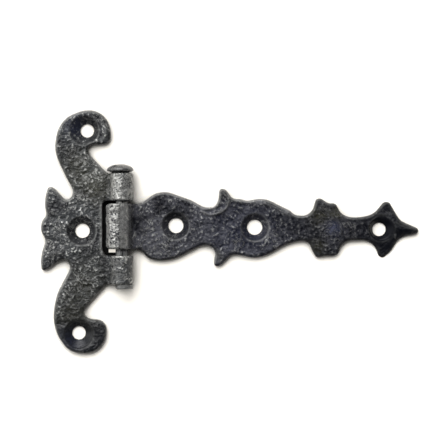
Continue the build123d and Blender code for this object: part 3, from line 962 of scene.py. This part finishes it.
class HingeFinish(bpy.types.PropertyGroup):
    """Colours and wear of the iron."""
    black: bpy.props.FloatVectorProperty(
        name="Black", description="Finish where it is thickest", subtype="COLOR", size=3,
        default=(0.004, 0.0045, 0.007), min=0.0, max=1.0)
    frame_iron: bpy.props.FloatVectorProperty(
        name="Frame leaf iron", description="Finish on the open faces of the frame leaf",
        subtype="COLOR", size=3, default=(0.058, 0.062, 0.065), min=0.0, max=1.0)
    strap_iron: bpy.props.FloatVectorProperty(
        name="Strap leaf iron", description="Finish on the open faces of the strap leaf",
        subtype="COLOR", size=3, default=(0.081, 0.082, 0.095), min=0.0, max=1.0)
    bare: bpy.props.FloatVectorProperty(
        name="Bare", description="Metal where the finish is worn off", subtype="COLOR", size=3,
        default=(0.45, 0.45, 0.43), min=0.0, max=1.0)
    grain_depth: bpy.props.FloatProperty(
        name="Grain depth", description="Depth of the sand-cast grain", default=0.0006, unit="LENGTH")
    frame_wear: bpy.props.FloatProperty(
        name="Frame leaf wear", description="How worn the frame leaf is", default=0.7,
        subtype="FACTOR", min=0.0, max=1.0)
    strap_wear: bpy.props.FloatProperty(
        name="Strap leaf wear", description="How worn the strap leaf is", default=0.5,
        subtype="FACTOR", min=0.0, max=1.0)
    pin_wear: bpy.props.FloatProperty(
        name="Pin wear", description="How worn the hinge pin is", default=0.6,
        subtype="FACTOR", min=0.0, max=1.0)


class HingeStage(bpy.types.PropertyGroup):
    """Camera and light."""
    camera_height: bpy.props.FloatProperty(
        name="Camera height", description="Camera above the hinge's back", default=0.6, unit="LENGTH")
    view_width: bpy.props.FloatProperty(
        name="View width", description="Width of the view at the leaves", default=0.16636,
        unit="LENGTH")
    room_light: bpy.props.FloatProperty(
        name="Room light", description="Strength of the light from all round", default=0.1)
    window_light: bpy.props.FloatProperty(
        name="Window light", description="Strength of the wide pane above the hinge", default=5.8)
    side_light: bpy.props.FloatProperty(
        name="Side light", description="Strength of the low pane on the left", default=1.8)


class HINGE_OT_leaves(bpy.types.Operator):
    """Make the cast skins of the frame leaf and the strap leaf"""
    bl_idname = "hinge.leaves"
    bl_label = "Make leaves"

    def execute(self, context):
        shape = context.scene.hinge_shape
        finish = context.scene.hinge_finish
        left = cast_leaf("frame_leaf", "cast_frame_leaf", "frame_side", FRAME_LEAF, shape)
        right = cast_leaf("strap_leaf", "cast_strap_leaf", "strap_side", STRAP_LEAF, shape)
        left_iron = iron("Frame leaf iron", finish, finish.frame_iron, finish.frame_wear,
                         sparkle=1.25, gloss=0.35, grain_depth=finish.grain_depth)
        right_iron = iron("Strap leaf iron", finish, finish.strap_iron, finish.strap_wear,
                          sparkle=0.65, gloss=0.08, grain_depth=finish.grain_depth)
        for piece, material in ((left, left_iron), (right, right_iron)):
            piece.data.materials.clear()
            piece.data.materials.append(material)
        return {"FINISHED"}


class HINGE_OT_pin(bpy.types.Operator):
    """Make the hinge pin with its domed head and hammered foot"""
    bl_idname = "hinge.pin"
    bl_label = "Make pin"

    def execute(self, context):
        finish = context.scene.hinge_finish
        piece = pin_skin(context.scene.hinge_shape)
        piece.data.materials.append(iron("Pin iron", finish, finish.frame_iron, finish.pin_wear,
                                         sparkle=1.0, gloss=0.5, grain_depth=finish.grain_depth * 0.1,
                                         marks=("Pits", "Tone", "Curls")))
        return {"FINISHED"}


class HINGE_OT_finishes(bpy.types.Operator):
    """Build the node groups that the iron materials share"""
    bl_idname = "hinge.finishes"
    bl_label = "Build finishes"

    def execute(self, context):
        cast_grain()
        worn_black_and_painted_light()
        return {"FINISHED"}


class HINGE_OT_stage(bpy.types.Operator):
    """Set up the pale floor, the soft light and the camera straight in front"""
    bl_idname = "hinge.stage"
    bl_label = "Set stage"

    def execute(self, context):
        scene = context.scene
        lay_paper(scene)
        light_room(scene, scene.hinge_stage)
        place_camera(scene, scene.hinge_stage)
        scene.view_settings.view_transform = "Standard"
        return {"FINISHED"}


class HINGE_PT_panel(bpy.types.Panel):
    """Settings and steps of the strap hinge"""
    bl_idname = "HINGE_PT_panel"
    bl_label = "Strap hinge"
    bl_space_type = "VIEW_3D"
    bl_region_type = "UI"
    bl_category = "Strap hinge"

    def draw(self, context):
        for title, settings in (("Shape", context.scene.hinge_shape),
                                ("Finish", context.scene.hinge_finish),
                                ("Stage", context.scene.hinge_stage)):
            box = self.layout.box()
            box.label(text=title)
            for name in type(settings).__annotations__:
                box.prop(settings, name)
        for step in STEPS:
            self.layout.operator(step.bl_idname)


STEPS = (HINGE_OT_finishes, HINGE_OT_leaves, HINGE_OT_pin, HINGE_OT_stage)
CLASSES = (HingeShape, HingeFinish, HingeStage, *STEPS, HINGE_PT_panel)


def register():
    for entry in CLASSES:
        bpy.utils.register_class(entry)
    bpy.types.Scene.hinge_shape = bpy.props.PointerProperty(type=HingeShape)
    bpy.types.Scene.hinge_finish = bpy.props.PointerProperty(type=HingeFinish)
    bpy.types.Scene.hinge_stage = bpy.props.PointerProperty(type=HingeStage)


def unregister():
    del bpy.types.Scene.hinge_shape
    del bpy.types.Scene.hinge_finish
    del bpy.types.Scene.hinge_stage
    for entry in reversed(CLASSES):
        bpy.utils.unregister_class(entry)


def main():
    register()
    bpy.ops.hinge.finishes()
    bpy.ops.hinge.leaves()
    bpy.ops.hinge.pin()
    bpy.ops.hinge.stage()


if __name__ == "__main__":
    main()
